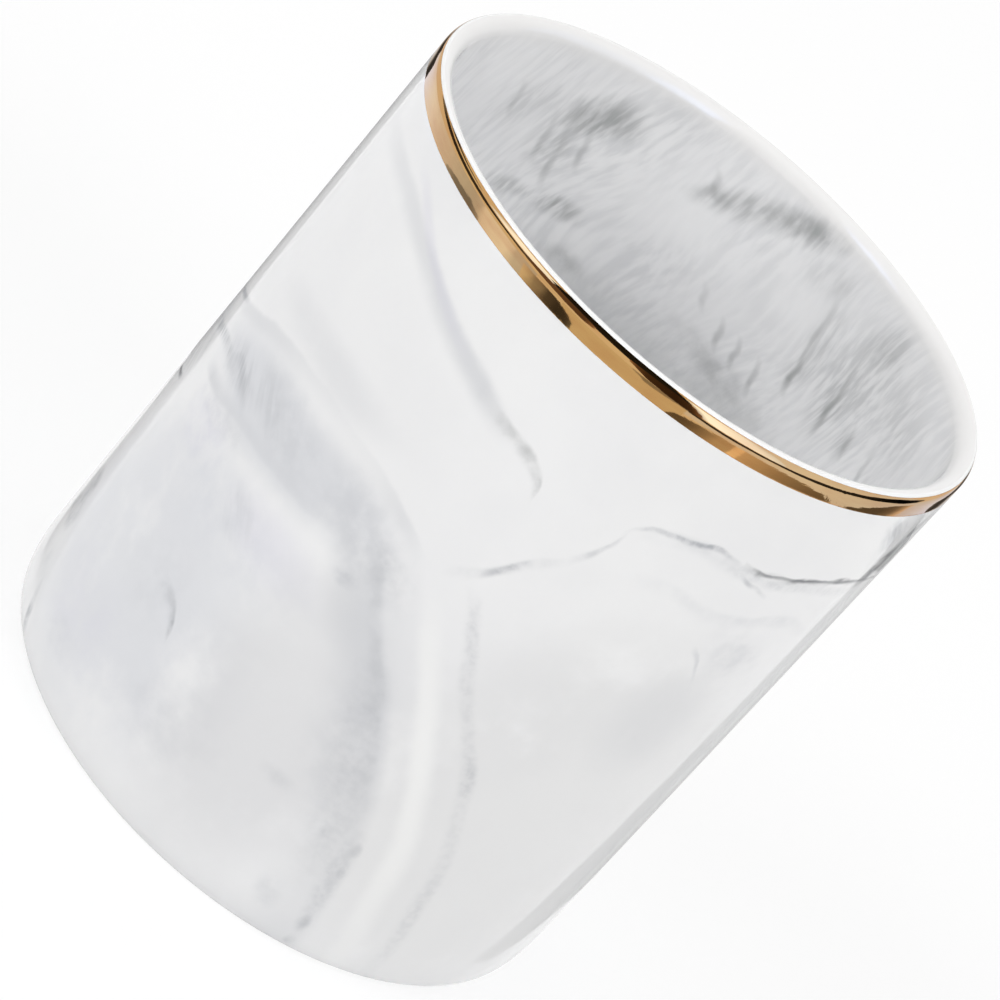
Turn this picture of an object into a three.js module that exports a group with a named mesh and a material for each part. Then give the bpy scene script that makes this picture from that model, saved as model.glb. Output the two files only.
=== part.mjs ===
import * as THREE from 'three';

// A ceramic cup that holds pens on a desk, with a gold band round the outside of its lip.
// Millimetres. The origin is the middle of the foot and +Z runs up the cup's axis.

// Outside of the cup
const bodyDiameter = 80;
const bodyHeight = 89;
const baseEdgeWidth = 1.2; // how far the soft edge above the foot comes in
const baseEdgeHeight = 6; // how far that edge reaches up the wall

// Wall and floor
const wallThickness = 2.5;
const floorThickness = 4.2; // between the inside floor and the recess under it
const insideCornerRadius = 4;

// Foot ring, the bare clay that the cup stands on
const footRingWidth = 4.2;
const footRecessDepth = 1.4;
const footSlopeWidth = 1.2; // from the ring's inner edge to the roof of the recess

// Gold band. Its inner face is upright, and its outer face follows the wall and runs out on the lip's shoulder.
const bandDrop = 3.1; // from the crest of the lip down to the band's lower edge
const bandThickness = 0.3;
const bandClearance = 0.15; // between the band and its seat in the wall

// Lip, from the band's seat over the crest to the inside wall
const seatToCrest = 0.25;
const shoulderHeight = 1.4;
const innerLipHeight = 1;

// Facets
const segmentsAround = 96;
const stepsPerCurve = 5;

const bodyRadius = bodyDiameter / 2;
const insideRadius = bodyRadius - wallThickness;
const insideFloorZ = footRecessDepth + floorThickness;
const footOuterRadius = bodyRadius - baseEdgeWidth;
const footInnerRadius = footOuterRadius - footRingWidth;
const seatDepth = bandThickness + bandClearance;
const shoulderWidth = seatDepth + seatToCrest;
const shoulderZ = bodyHeight - shoulderHeight;
const crestRadius = bodyRadius - shoulderWidth;
const innerLipWidth = wallThickness - shoulderWidth;
const bandBottomZ = bodyHeight - bandDrop;
const bandInnerRadius = bodyRadius - bandThickness;
const seatBottomZ = bandBottomZ - bandClearance;
const seatRadius = bodyRadius - seatDepth;

const marbleGlaze = new THREE.MeshStandardMaterial({
  name: 'marble_glaze',
  color: '#e6e6e8',
  roughness: 0.1,
  metalness: 0,
});

const goldLustre = new THREE.MeshStandardMaterial({
  name: 'gold_lustre',
  color: '#c9a46b',
  roughness: 0.15,
  metalness: 1,
});

// Part of an ellipse in the profile plane, with both of its ends. Angles are in degrees, from outwards to upwards.
function curve(centreRadius, centreZ, reachOut, reachUp, startDegrees, endDegrees) {
  const points = [];
  for (let step = 0; step <= stepsPerCurve; step++) {
    const degrees = THREE.MathUtils.lerp(startDegrees, endDegrees, step / stepsPerCurve);
    const angle = THREE.MathUtils.degToRad(degrees);
    points.push(new THREE.Vector2(centreRadius + reachOut * Math.cos(angle), centreZ + reachUp * Math.sin(angle)));
  }
  return points;
}

// The lip's shoulder between two angles. It starts upright at the wall, and lies flat at the crest.
function shoulder(startDegrees, endDegrees) {
  return curve(crestRadius, shoulderZ, shoulderWidth, shoulderHeight, startDegrees, endDegrees);
}

// The angle at which the shoulder has come in by a depth from the wall's outside.
function shoulderDegrees(depth) {
  return THREE.MathUtils.radToDeg(Math.acos(1 - depth / shoulderWidth));
}

// Turns a profile of radius and height about the cup's axis.
function turn(profile) {
  const geometry = new THREE.LatheGeometry(profile, segmentsAround);
  geometry.rotateX(Math.PI / 2);
  return geometry;
}

// From the middle of the underside, out over the foot, up the outside, over the lip and down to the inside floor.
function cupProfile() {
  const underside = [
    new THREE.Vector2(0, footRecessDepth),
    new THREE.Vector2(footInnerRadius - footSlopeWidth, footRecessDepth),
    new THREE.Vector2(footInnerRadius, 0),
  ];
  const baseEdge = curve(footOuterRadius, baseEdgeHeight, baseEdgeWidth, baseEdgeHeight, -90, 0);
  const seat = [new THREE.Vector2(bodyRadius, seatBottomZ), new THREE.Vector2(seatRadius, seatBottomZ)];
  const lipAboveSeat = shoulder(shoulderDegrees(seatDepth), 90);
  const lipInside = curve(crestRadius, bodyHeight - innerLipHeight, innerLipWidth, innerLipHeight, 90, 180);
  const cornerCentreRadius = insideRadius - insideCornerRadius;
  const cornerCentreZ = insideFloorZ + insideCornerRadius;
  const corner = curve(cornerCentreRadius, cornerCentreZ, insideCornerRadius, insideCornerRadius, 0, -90);
  const floorMiddle = new THREE.Vector2(0, insideFloorZ);
  return [...underside, ...baseEdge, ...seat, ...lipAboveSeat, ...lipInside.slice(1), ...corner, floorMiddle];
}

// A thin ring, closed on itself.
function bandProfile() {
  const foot = new THREE.Vector2(bandInnerRadius, bandBottomZ);
  const outerFoot = new THREE.Vector2(bodyRadius, bandBottomZ);
  const outerFace = shoulder(0, shoulderDegrees(bandThickness));
  return [foot, outerFoot, ...outerFace, foot.clone()];
}

function namedMesh(name, geometry, material) {
  const mesh = new THREE.Mesh(geometry, material);
  mesh.name = name;
  return mesh;
}

const penHolder = new THREE.Group();
penHolder.name = 'pen_holder';
penHolder.add(namedMesh('cup_body', turn(cupProfile()), marbleGlaze));
penHolder.add(namedMesh('gold_band', turn(bandProfile()), goldLustre));

export default penHolder;
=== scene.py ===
"""A ceramic pen holder: a glazed cup with grey marbling, and a band of gold lustre under its lip.

Objects are in metres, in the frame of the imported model. Sizes in the classes are real millimetres.
Angles round the cup are degrees from the side that faces the camera, and grow towards +X.
"""

import logging
import math
from abc import ABC, abstractmethod
from dataclasses import dataclass
from enum import Enum, IntEnum

import bpy
from bpy.types import Material, Node, NodeSocket, NodeTree, Object
from mathutils import Matrix, Vector


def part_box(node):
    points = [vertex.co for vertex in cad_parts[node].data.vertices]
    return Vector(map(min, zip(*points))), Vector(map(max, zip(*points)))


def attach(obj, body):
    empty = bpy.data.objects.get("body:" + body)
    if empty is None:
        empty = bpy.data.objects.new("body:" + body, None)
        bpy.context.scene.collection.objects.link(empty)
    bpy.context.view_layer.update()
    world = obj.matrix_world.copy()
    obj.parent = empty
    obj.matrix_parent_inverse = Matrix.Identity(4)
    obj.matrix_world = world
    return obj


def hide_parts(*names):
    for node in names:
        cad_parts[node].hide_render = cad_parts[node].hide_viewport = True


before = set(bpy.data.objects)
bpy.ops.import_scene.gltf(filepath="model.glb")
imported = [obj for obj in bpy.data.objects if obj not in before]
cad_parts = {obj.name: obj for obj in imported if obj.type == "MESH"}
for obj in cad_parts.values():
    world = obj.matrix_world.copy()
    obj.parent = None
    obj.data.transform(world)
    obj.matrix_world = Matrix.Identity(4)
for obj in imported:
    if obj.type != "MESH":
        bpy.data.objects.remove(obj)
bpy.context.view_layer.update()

LOG = logging.getLogger("pen_holder")
MM = 0.001
BODY = "root"

# Types of node in use. A Map Range node's inputs by number are its value, the range that the value
# comes from (1 and 2) and the range that it goes to (3 and 4).
MATH = "ShaderNodeMath"
VECTOR_MATH = "ShaderNodeVectorMath"
MAP_RANGE = "ShaderNodeMapRange"
NOISE = "ShaderNodeTexNoise"
BUMP = "ShaderNodeBump"
MIX = "ShaderNodeMix"

# Sockets of a Mix node that mixes two colours
MIX_SHARE, MIX_UNDER, MIX_OVER, MIX_RESULT = 0, 6, 7, 2

# Colours of the white glaze and of its stain, from pale to dark
GLAZE_WHITE = "#F8F8F8"
MILK = "#F4F4F3"
OUTSIDE_WHITE = "#F2F2F2"
LIP_WHITE = "#F1F0EF"
HAZE = "#E0E0E3"
PEARL = "#D9D9D9"
LILAC = "#D3D1E2"
COOL_GREY = "#CDD0D8"
DOVE_GREY = "#CFCFD1"
BLUE_GREY = "#C3C6CE"
DUSKY_LILAC = "#C6C4D6"
STONE_GREY = "#BFC1C6"
MIST = "#C0C1C1"
PEWTER = "#B7B9BD"
ASH = "#9EA1A7"
SMOKE = "#989A9A"
INK = "#5F6166"

# Colours of the light in the studio
PAPER_WHITE = "#FFFFFF"
FLOOR_WHITE = "#E8E8E8"
SKY_BLUE = "#B4CDFF"
PALE_BLUE = "#D2E0FF"
IVORY = "#FFFDF3"
CREAM = "#FFF4E6"
PEACH = "#FFD8C0"
APRICOT = "#FFD2B0"


def linear(colour: str) -> tuple[float, float, float, float]:
    """Turns an sRGB colour to the linear one that shaders take.

    Args:
        colour: The colour as six hex digits after a hash.

    Returns:
        Red, green, blue and an opacity of 1.
    """
    channels = [int(colour[place:place + 2], 16) / 255 for place in (1, 3, 5)]
    red, green, blue = (c / 12.92 if c <= 0.04045 else ((c + 0.055) / 1.055) ** 2.4 for c in channels)
    return red, green, blue, 1.0


def towards(azimuth: float, elevation: float = 0.0) -> Vector:
    """Gives a direction from the cup's axis.

    Args:
        azimuth: Degrees from the camera's side towards +X.
        elevation: Degrees above the horizon.

    Returns:
        A vector of length 1.
    """
    turn, rise = math.radians(azimuth), math.radians(elevation)
    return Vector((math.sin(turn) * math.cos(rise), -math.cos(turn) * math.cos(rise), math.sin(rise)))


def add(tree: NodeTree, kind: str, inputs: dict[str | int, object] | None = None, **settings: object) -> Node:
    """Adds a node with its settings and its inputs.

    Args:
        tree: The node tree that takes the node.
        kind: The node's type name.
        inputs: Sockets by name or number, each with a value, a node or an output socket.
        settings: The node's own properties.

    Returns:
        The new node.
    """
    node = tree.nodes.new(kind)
    for name, value in settings.items():
        setattr(node, name, value)
    for key, value in (inputs or {}).items():
        if isinstance(value, Node):
            value = value.outputs[0]
        if isinstance(value, NodeSocket):
            tree.links.new(value, node.inputs[key])
        else:
            node.inputs[key].default_value = value
    return node


def add_socket(tree: NodeTree, name: str, kind: str, in_out: str = "INPUT") -> str:
    """Adds a socket to a node group.

    Args:
        tree: The node group.
        name: The socket's name.
        kind: What it carries, such as Float.
        in_out: Whether it is an input or an output of the group.

    Returns:
        The socket's identifier.
    """
    return tree.interface.new_socket(name=name, in_out=in_out, socket_type="NodeSocket" + kind).identifier


def new_material(name: str) -> Material:
    """Makes a material with an empty node tree.

    Args:
        name: The material's name.

    Returns:
        The material.
    """
    material = bpy.data.materials.new(name)
    material.use_nodes = True
    material.node_tree.nodes.clear()
    return material


class Bend(Enum):
    """How a stretch of a turned profile runs from its start to its end."""

    STRAIGHT = 0
    LEVEL_FIRST = 1
    UPRIGHT_FIRST = 2


@dataclass(frozen=True)
class Stretch:
    """One stretch of a turned profile.

    Attributes:
        start: Names of the radius and the height where it starts.
        end: Names of the radius and the height where it ends.
        steps: Rows of faces along it.
        finish: Number of the finish that it takes, in the list that the lathe is given.
        bend: A straight line, or a quarter of an ellipse.
        share: The part of the quarter that is used, from 0 to 1.
    """

    start: tuple[str, str]
    end: tuple[str, str]
    steps: int
    finish: int = 0
    bend: Bend = Bend.STRAIGHT
    share: tuple[float, float] = (0.0, 1.0)


@dataclass
class Lathe:
    """Turns a profile round the upright axis into one closed mesh, with Geometry Nodes.

    Attributes:
        segments: Faces round the axis.
        sharp_degrees: Edges that turn further than this stay sharp.
        weld: Millimetres within which two points become one.
    """

    segments: int = 256
    sharp_degrees: float = 32.0
    weld: float = 0.002

    stretch_sizes = ("Start Radius", "Start Height", "End Radius", "End Height", "From", "To")
    stretch_counts = ("Rows", "Columns", "Bend")

    def __post_init__(self) -> None:
        """Makes the node group that turns one stretch."""
        self.stretch_group = self.build_stretch_group()

    def build_stretch_group(self) -> NodeTree:
        """Builds the group that makes one turned stretch from a flat grid.

        Returns:
            The node group, with a named input for each size and count.
        """
        tree = bpy.data.node_groups.new("turned_stretch", "GeometryNodeTree")
        for name in self.stretch_sizes:
            add_socket(tree, name, "Float")
        for name in self.stretch_counts:
            add_socket(tree, name, "Int")
        add_socket(tree, "Mesh", "Geometry", "OUTPUT")
        size = add(tree, "NodeGroupInput").outputs
        counts = {"Vertices X": size["Rows"], "Vertices Y": size["Columns"], "Size X": 1.0, "Size Y": 1.0}
        grid = add(tree, "GeometryNodeMeshGrid", counts)
        place = add(tree, "ShaderNodeSeparateXYZ", {0: add(tree, "GeometryNodeInputPosition")})
        along = add(tree, MAP_RANGE, {0: place.outputs["X"], 1: -0.5, 2: 0.5, 3: size["From"], 4: size["To"]})
        quarter = add(tree, MATH, {0: along, 1: math.pi / 2}, operation="MULTIPLY")
        rising = add(tree, MATH, {0: quarter}, operation="SINE")
        falling = add(tree, MATH, {0: quarter}, operation="COSINE")
        easing = add(tree, MATH, {0: 1.0, 1: falling}, operation="SUBTRACT")
        reach, climb = (add(tree, "GeometryNodeIndexSwitch", data_type="FLOAT") for _ in range(2))
        for switch, ways in ((reach, (along, rising, easing)), (climb, (along, easing, rising))):
            switch.index_switch_items.new()
            tree.links.new(size["Bend"], switch.inputs["Index"])
            for number, way in enumerate(ways):
                tree.links.new(way.outputs[0], switch.inputs[str(number)])
        radius = add(tree, MAP_RANGE, {0: reach, 3: size["Start Radius"], 4: size["End Radius"]}, clamp=False)
        height = add(tree, MAP_RANGE, {0: climb, 3: size["Start Height"], 4: size["End Height"]}, clamp=False)
        turn = add(tree, MAP_RANGE, {0: place.outputs["Y"], 1: -0.5, 2: 0.5, 3: 0.0, 4: math.tau})
        upright = {"Vector": add(tree, "ShaderNodeCombineXYZ", {"X": radius, "Z": height}), "Angle": turn}
        turned = add(tree, "ShaderNodeVectorRotate", upright, rotation_type="Z_AXIS")
        moved = add(tree, "GeometryNodeSetPosition", {"Geometry": grid, "Position": turned})
        add(tree, "NodeGroupOutput", {"Mesh": moved})
        return tree

    def turn(
        self,
        name: str,
        sizes: dict[str, float],
        stretches: list[Stretch],
        finishes: list[Material],
    ) -> Object:
        """Turns a closed profile.

        Args:
            name: The piece's name.
            sizes: The profile's radii and heights by name, in millimetres.
            stretches: The profile, from stretch to stretch, with the solid on its left.
            finishes: A material for each finish number.

        Returns:
            The piece as a plain mesh object at the origin.
        """
        tree = bpy.data.node_groups.new(name + "_tree", "GeometryNodeTree")
        values: dict[str, object] = {}
        for label, size in sizes.items():
            values[add_socket(tree, label, "Float")] = size * MM
        for material in finishes:
            values[add_socket(tree, material.name, "Material")] = material
        add_socket(tree, "Mesh", "Geometry", "OUTPUT")
        given = add(tree, "NodeGroupInput").outputs
        joined = add(tree, "GeometryNodeJoinGeometry")
        labels = (*self.stretch_sizes, *self.stretch_counts)
        for stretch in stretches:
            ends = (given[label] for label in (*stretch.start, *stretch.end))
            counts = (stretch.steps + 1, self.segments + 1, stretch.bend.value)
            inputs = dict(zip(labels, (*ends, *stretch.share, *counts)))
            made = add(tree, "GeometryNodeGroup", inputs, node_tree=self.stretch_group)
            inputs = {"Geometry": made, "Name": "finish", "Value": stretch.finish}
            marked = add(tree, "GeometryNodeStoreNamedAttribute", inputs, data_type="INT", domain="FACE")
            tree.links.new(marked.outputs[0], joined.inputs[0])
        inputs = {"Geometry": joined, "Distance": self.weld * MM}
        merged = add(tree, "GeometryNodeMergeByDistance", inputs)
        angle = add(tree, "GeometryNodeInputMeshEdgeAngle")
        sharp = add(tree, MATH, {0: angle, 1: math.radians(self.sharp_degrees)}, operation="GREATER_THAN")
        smooth = add(tree, "GeometryNodeSetShadeSmooth", {"Geometry": merged}, domain="FACE")
        inputs = {"Geometry": smooth, "Selection": sharp, "Shade Smooth": False}
        edged = add(tree, "GeometryNodeSetShadeSmooth", inputs, domain="EDGE")
        dressed = add(tree, "GeometryNodeRealizeInstances", {"Geometry": edged})
        mark = add(tree, "GeometryNodeInputNamedAttribute", {"Name": "finish"}, data_type="INT")
        for number, material in enumerate(finishes):
            chosen = add(tree, MATH, {0: mark, 1: float(number), 2: 0.5}, operation="COMPARE")
            inputs = {"Geometry": dressed, "Selection": chosen, "Material": given[material.name]}
            dressed = add(tree, "GeometryNodeSetMaterial", inputs)
        add(tree, "NodeGroupOutput", {"Mesh": dressed})
        return self.finished(name, tree, values)

    def finished(self, name: str, tree: NodeTree, values: dict[str, object]) -> Object:
        """Runs a tree and keeps its result.

        Args:
            name: The piece's name.
            tree: The piece's tree.
            values: The tree's inputs by socket identifier.

        Returns:
            The piece as a plain mesh object with no modifier.
        """
        maker = bpy.data.objects.new(name + "_maker", bpy.data.meshes.new(name + "_maker"))
        bpy.context.scene.collection.objects.link(maker)
        modifier = maker.modifiers.new("turn", "NODES")
        modifier.node_group = tree
        for identifier, value in values.items():
            modifier[identifier] = value
        depsgraph = bpy.context.evaluated_depsgraph_get()
        mesh = bpy.data.meshes.new_from_object(maker.evaluated_get(depsgraph))
        mesh.name = name
        bpy.data.objects.remove(maker)
        piece = bpy.data.objects.new(name, mesh)
        bpy.context.scene.collection.objects.link(piece)
        return piece


class Grain(Enum):
    """The texture that breaks up a vein or a cloud in the glaze."""

    SMOOTH = "smooth"
    MOTTLED = "mottled"
    SPECKLED = "speckled"
    FEATHERED = "feathered"


@dataclass(frozen=True)
class Feather:
    """The streaks into which the stain is drawn out.

    Attributes:
        width: Their width, in millimetres.
        length: Their length, in millimetres.
        twist: How far they lean, in radians round the cup for each millimetre up it.
        bend: How far they are bent from side to side, in millimetres.
    """

    width: float = 1.2
    length: float = 6.0
    twist: float = 0.026
    bend: float = 6.0


# Degrees round the cup past which a cloud, or the end of a vein, is painted with the far side
FAR_CLOUD = 120
FAR_VEIN = 170


@dataclass(frozen=True)
class Cloud:
    """A soft patch of colour in the glaze.

    Attributes:
        place: Degrees round the cup and millimetres up it, at the middle.
        size: Half its length and half its width, in millimetres.
        turn: Degrees from level to its length.
        depth: How much of its colour it lays down, from 0 to 1.
        colour: Its colour.
        grain: The texture that breaks it up.
        edge: The share of its size over which it fades out.
    """

    place: tuple[float, float]
    size: tuple[float, float]
    turn: float
    depth: float
    colour: str
    grain: Grain = Grain.SMOOTH
    edge: float = 0.8

    @property
    def far(self) -> bool:
        """Whether it is painted on the sheet that holds the far side in one piece."""
        return self.place[0] > FAR_CLOUD


@dataclass(frozen=True)
class Vein:
    """A line of colour that runs through the glaze.

    Attributes:
        course: Its points, each with the degrees round the cup, the millimetres up it, and how dark
            the vein is there, from 0 to 1. A vein that isn't 0 at an end runs straight on past it.
        spread: Millimetres over which it fades to its lower or left side, and to the other side.
        colour: Its colour.
        grain: The texture that breaks it up.
        upright: Whether it runs up the cup rather than round it.
    """

    course: tuple[tuple[float, float, float], ...]
    spread: tuple[float, float]
    colour: str
    grain: Grain = Grain.SMOOTH
    upright: bool = False

    @property
    def far(self) -> bool:
        """Whether it is painted on the sheet that holds the far side in one piece."""
        return max(point[0] for point in self.course) > FAR_VEIN


class Painter:
    """Paints clouds and veins over a glaze's ground colour, in the glaze's own node tree.

    Attributes:
        wander: How far slow noise bends the paint's course, in millimetres.
        least: The least share of the paint that a grain leaves.
    """

    wander = 3.0
    least = 0.25

    def __init__(self, tree: NodeTree, place: Node, radius: float, ragged: float, feather: Feather) -> None:
        """Lays out the coordinates that the paint follows.

        Args:
            tree: The material's node tree.
            place: The position on the cup, in millimetres.
            radius: The wall's radius, in millimetres.
            ragged: How far fine noise pushes the edges about, in millimetres.
            feather: The streaks into which it draws the stain out.
        """
        self.tree = tree
        self.place = place
        self.radius = radius
        self.feather = feather
        self.axes = add(tree, "ShaderNodeSeparateXYZ", {0: place}).outputs
        drift = self.patches(18.0, 2.0, detail=3.0)
        flutter = self.patches(2.2, 5.0, detail=4.0)
        self.flat = {}
        for far in (False, True):
            flat = self.unrolled(far)
            for noise, reach in ((drift, self.wander), (flutter, ragged)):
                centred = add(tree, VECTOR_MATH, {0: noise, 1: (0.5, 0.5, 0.5)}, operation="SUBTRACT")
                pushed = add(tree, VECTOR_MATH, {0: centred, "Scale": reach}, operation="SCALE")
                flat = add(tree, VECTOR_MATH, {0: flat, 1: pushed}, operation="ADD")
            self.flat[far] = flat
        self.grains = {
            Grain.MOTTLED: self.mottle(),
            Grain.SPECKLED: self.specks(),
            Grain.FEATHERED: self.feathers(),
        }

    def patches(self, size: float, seed: float, detail: float) -> NodeSocket:
        """Spreads uneven patches over the cup, with no seam round it.

        Args:
            size: Their width, in millimetres.
            seed: Picks one pattern among many.
            detail: How many finer layers they have.

        Returns:
            The patches as a colour with three unlike channels.
        """
        inputs = {"Vector": self.place, "Scale": 1 / size, "W": seed, "Detail": detail}
        return add(self.tree, NOISE, inputs, noise_dimensions="4D").outputs["Color"]

    def unrolled(self, far: bool) -> Node:
        """Unrolls the wall to a flat sheet.

        Args:
            far: Whether the sheet is cut at the near side, to hold the far side in one piece.

        Returns:
            A vector with millimetres round the cup in X and millimetres up it in Y.
        """
        sign = -1.0 if far else 1.0
        over = add(self.tree, MATH, {0: self.axes["X"], 1: sign}, operation="MULTIPLY")
        back = add(self.tree, MATH, {0: self.axes["Y"], 1: -sign}, operation="MULTIPLY")
        angle = add(self.tree, MATH, {0: over, 1: back}, operation="ARCTAN2")
        shifted = add(self.tree, MATH, {0: angle, 1: math.pi if far else 0.0}, operation="ADD")
        around = add(self.tree, MATH, {0: shifted, 1: self.radius}, operation="MULTIPLY")
        return add(self.tree, "ShaderNodeCombineXYZ", {"X": around, "Y": self.axes["Z"]})

    def mottle(self) -> Node:
        """Breaks colour into uneven patches of about 2 mm.

        Returns:
            A factor from 0 to 1.
        """
        noise = self.patches(2.6, 9.0, detail=4.0)
        return add(self.tree, MAP_RANGE, {0: noise, 1: 0.38, 2: 0.62}, interpolation_type="SMOOTHSTEP")

    def specks(self) -> Node:
        """Breaks colour into grit of about half a millimetre.

        Returns:
            A factor from 0.2 to 1.
        """
        noise = self.patches(1.0, 13.0, detail=3.0)
        limits = {0: noise, 1: 0.38, 2: 0.66, 3: 0.2, 4: 1.0}
        return add(self.tree, MAP_RANGE, limits, interpolation_type="SMOOTHSTEP")

    def feathers(self) -> Node:
        """Draws colour out into slanted streaks.

        Returns:
            A factor from 0 to 1.
        """
        twist = add(self.tree, MATH, {0: self.axes["Z"], 1: self.feather.twist}, operation="MULTIPLY")
        slow = self.patches(20.0, 15.0, detail=0.0)
        bend = add(self.tree, VECTOR_MATH, {0: slow, "Scale": self.feather.bend}, operation="SCALE")
        bent = add(self.tree, VECTOR_MATH, {0: self.place, 1: bend}, operation="ADD")
        inputs = {"Vector": bent, "Angle": twist}
        twisted = add(self.tree, "ShaderNodeVectorRotate", inputs, rotation_type="Z_AXIS")
        squeeze = (1.0, 1.0, self.feather.width / self.feather.length)
        drawn = add(self.tree, VECTOR_MATH, {0: twisted, 1: squeeze}, operation="MULTIPLY")
        inputs = {"Vector": drawn, "Scale": 1 / self.feather.width, "W": 4.0, "Detail": 2.0}
        streaks = add(self.tree, NOISE, inputs, noise_dimensions="4D")
        return add(self.tree, MAP_RANGE, {0: streaks, 1: 0.34, 2: 0.68}, interpolation_type="SMOOTHSTEP")

    def grained(self, strength: Node, grain: Grain) -> Node:
        """Breaks up a patch of paint.

        Args:
            strength: The paint's strength.
            grain: The texture.

        Returns:
            The strength after the texture.
        """
        if grain is Grain.SMOOTH:
            return strength
        kept = add(self.tree, MAP_RANGE, {0: self.grains[grain], 3: self.least, 4: 1.0})
        return add(self.tree, MATH, {0: strength, 1: kept}, operation="MULTIPLY")

    def lay(self, ground: NodeSocket, strength: Node, depth: float, colour: str) -> NodeSocket:
        """Lays colour over the ground.

        Args:
            ground: The colour so far.
            strength: Where the paint lies, from 0 to 1.
            depth: How much of the colour it lays down at most.
            colour: The colour.

        Returns:
            The colour with the paint on it.
        """
        share = add(self.tree, MATH, {0: strength, 1: depth}, operation="MULTIPLY")
        inputs = {MIX_SHARE: share, MIX_UNDER: ground, MIX_OVER: linear(colour)}
        return add(self.tree, MIX, inputs, data_type="RGBA").outputs[MIX_RESULT]

    def cloud(self, ground: NodeSocket, cloud: Cloud) -> NodeSocket:
        """Paints one cloud.

        Args:
            ground: The colour so far.
            cloud: The cloud.

        Returns:
            The colour with the cloud on it.
        """
        degrees, height = cloud.place
        inputs = {
            "Vector": self.flat[cloud.far],
            "Location": (math.radians(degrees) * self.radius, height, 0.0),
            "Rotation": (0.0, 0.0, math.radians(cloud.turn)),
            "Scale": (*cloud.size, 1.0),
        }
        centred = add(self.tree, "ShaderNodeMapping", inputs, vector_type="TEXTURE")
        away = add(self.tree, VECTOR_MATH, {0: centred}, operation="LENGTH").outputs["Value"]
        limits = {0: away, 1: 1.0 - cloud.edge, 2: 1.0, 3: 1.0, 4: 0.0}
        strength = add(self.tree, MAP_RANGE, limits, interpolation_type="SMOOTHSTEP")
        return self.lay(ground, self.grained(strength, cloud.grain), cloud.depth, cloud.colour)

    def traced(self, along: Node, points: list[tuple[float, float]], handle: str) -> Node:
        """Traces how a vein's course or its ink changes along it.

        Args:
            along: How far along the vein a place lies, from 0 to 1.
            points: The shares of the vein's length, and what is traced there, from 0 to 1.
            handle: AUTO for a smooth curve through the points, or VECTOR for straight lines.

        Returns:
            What is traced, at that place.
        """
        node = add(self.tree, "ShaderNodeFloatCurve", {"Value": along})
        curve = node.mapping.curves[0]
        while len(curve.points) < len(points):
            curve.points.new(0.5, 0.5)
        for point, place in zip(curve.points, points):
            point.location = place
            point.handle_type = handle
        node.mapping.update()
        return node

    def vein(self, ground: NodeSocket, vein: Vein) -> NodeSocket:
        """Paints one vein.

        Args:
            ground: The colour so far.
            vein: The vein.

        Returns:
            The colour with the vein on it.
        """
        tree = self.tree
        flat = add(tree, "ShaderNodeSeparateXYZ", {0: self.flat[vein.far]}).outputs
        run, side = flat["X"], flat["Y"]
        points = [(math.radians(turn) * self.radius, height, dark) for turn, height, dark in vein.course]
        if vein.upright:
            run, side = side, run
            points = [(height, around, dark) for around, height, dark in points]
        points.sort()
        first, last = points[0][0], points[-1][0]
        low, high = min(point[1] for point in points), max(point[1] for point in points)
        # Room for the smooth line to swing out past its points
        margin = 0.3 * (high - low) + 0.5
        low, high = low - margin, high + margin
        along = add(tree, MAP_RANGE, {0: run, 1: first, 2: last})
        shares = [(point[0] - first) / (last - first) for point in points]
        levels = [(point[1] - low) / (high - low) for point in points]
        line = self.traced(along, list(zip(shares, levels)), "AUTO")
        ink = self.traced(along, [(share, point[2]) for share, point in zip(shares, points)], "VECTOR")
        middle = add(tree, MAP_RANGE, {0: line, 3: low, 4: high})
        away = add(tree, MATH, {0: side, 1: middle}, operation="SUBTRACT")
        before, after = vein.spread
        rise = add(tree, MAP_RANGE, {0: away, 1: -before, 2: 0.0}, interpolation_type="SMOOTHERSTEP")
        limits = {0: away, 1: 0.0, 2: after, 3: 1.0, 4: 0.0}
        fall = add(tree, MAP_RANGE, limits, interpolation_type="SMOOTHERSTEP")
        ridge = add(tree, MATH, {0: rise, 1: fall}, operation="MULTIPLY")
        strength = add(tree, MATH, {0: ridge, 1: ink}, operation="MULTIPLY")
        return self.lay(ground, self.grained(strength, vein.grain), 1.0, vein.colour)


class Finish(ABC):
    """A surface finish, whose pattern is laid out in real millimetres on the object.

    Attributes:
        name: The material's name.
    """

    name: str

    @abstractmethod
    def inputs(self, tree: NodeTree, place: Node) -> dict[str, object]:
        """Adds the finish's own nodes.

        Args:
            tree: The material's node tree.
            place: The position on the object, in millimetres.

        Returns:
            What goes into the shader's sockets.
        """

    def material(self) -> Material:
        """Makes the material.

        Returns:
            The finish as a material.
        """
        material = new_material(self.name)
        tree = material.node_tree
        spot = add(tree, "ShaderNodeTexCoord").outputs["Object"]
        place = add(tree, VECTOR_MATH, {0: spot, "Scale": 1 / MM}, operation="SCALE")
        shader = add(tree, "ShaderNodeBsdfPrincipled", self.inputs(tree, place))
        add(tree, "ShaderNodeOutputMaterial", {"Surface": shader})
        return material


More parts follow.
